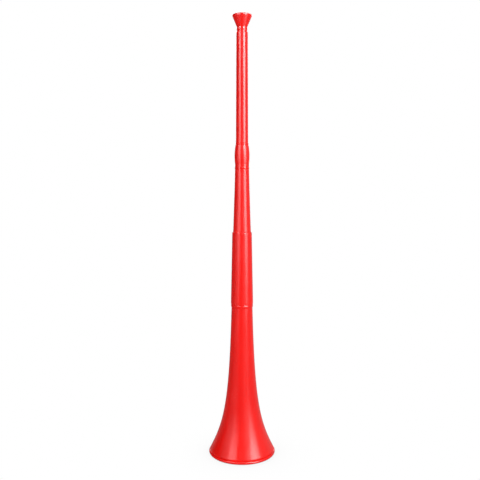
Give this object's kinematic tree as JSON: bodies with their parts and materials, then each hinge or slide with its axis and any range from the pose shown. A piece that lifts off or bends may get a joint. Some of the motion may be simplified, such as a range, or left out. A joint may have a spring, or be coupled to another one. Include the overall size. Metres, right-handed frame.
{
  "type": "vuvuzela",
  "caption": "Straight red plastic stadium horn, lip-blown, with a flared bell, a slim upper tube that telescopes into the lower sections, and a plug-in cup mouthpiece.",
  "frame": {"origin": "middle of the bell's mouth, on the surface that the lip stands on", "axes": "+Z along the horn's axis, from the bell up to the mouthpiece; X and Y are alike, because every piece is round"},
  "size_m": [0.1, 0.1, 0.6492],
  "materials": {
    "bell_plastic": "moulded satin gloss, bright red",
    "middle_plastic": "moulded satin gloss, bright red",
    "tube_plastic": "moulded satin gloss, bright red",
    "mouthpiece_plastic": "moulded gloss, bright red"
  },
  "bodies": {
    "bell": {"bell_section": "bell_plastic"},
    "middle": {"middle_section": "middle_plastic"},
    "tube": {"upper_tube": "tube_plastic"},
    "mouthpiece": {"mouthpiece": "mouthpiece_plastic"}
  },
  "joints": [
    {"name": "middle_lift", "type": "slide", "parent": "bell", "child": "middle", "axis": [0, 0, 1], "range_m": [0, 0.03]},
    {"name": "tube_telescope", "type": "slide", "parent": "middle", "child": "tube", "axis": [0, 0, 1], "range_m": [-0.308, 0]},
    {"name": "mouthpiece_lift", "type": "slide", "parent": "tube", "child": "mouthpiece", "axis": [0, 0, 1], "range_m": [0, 0.022]}
  ]
}
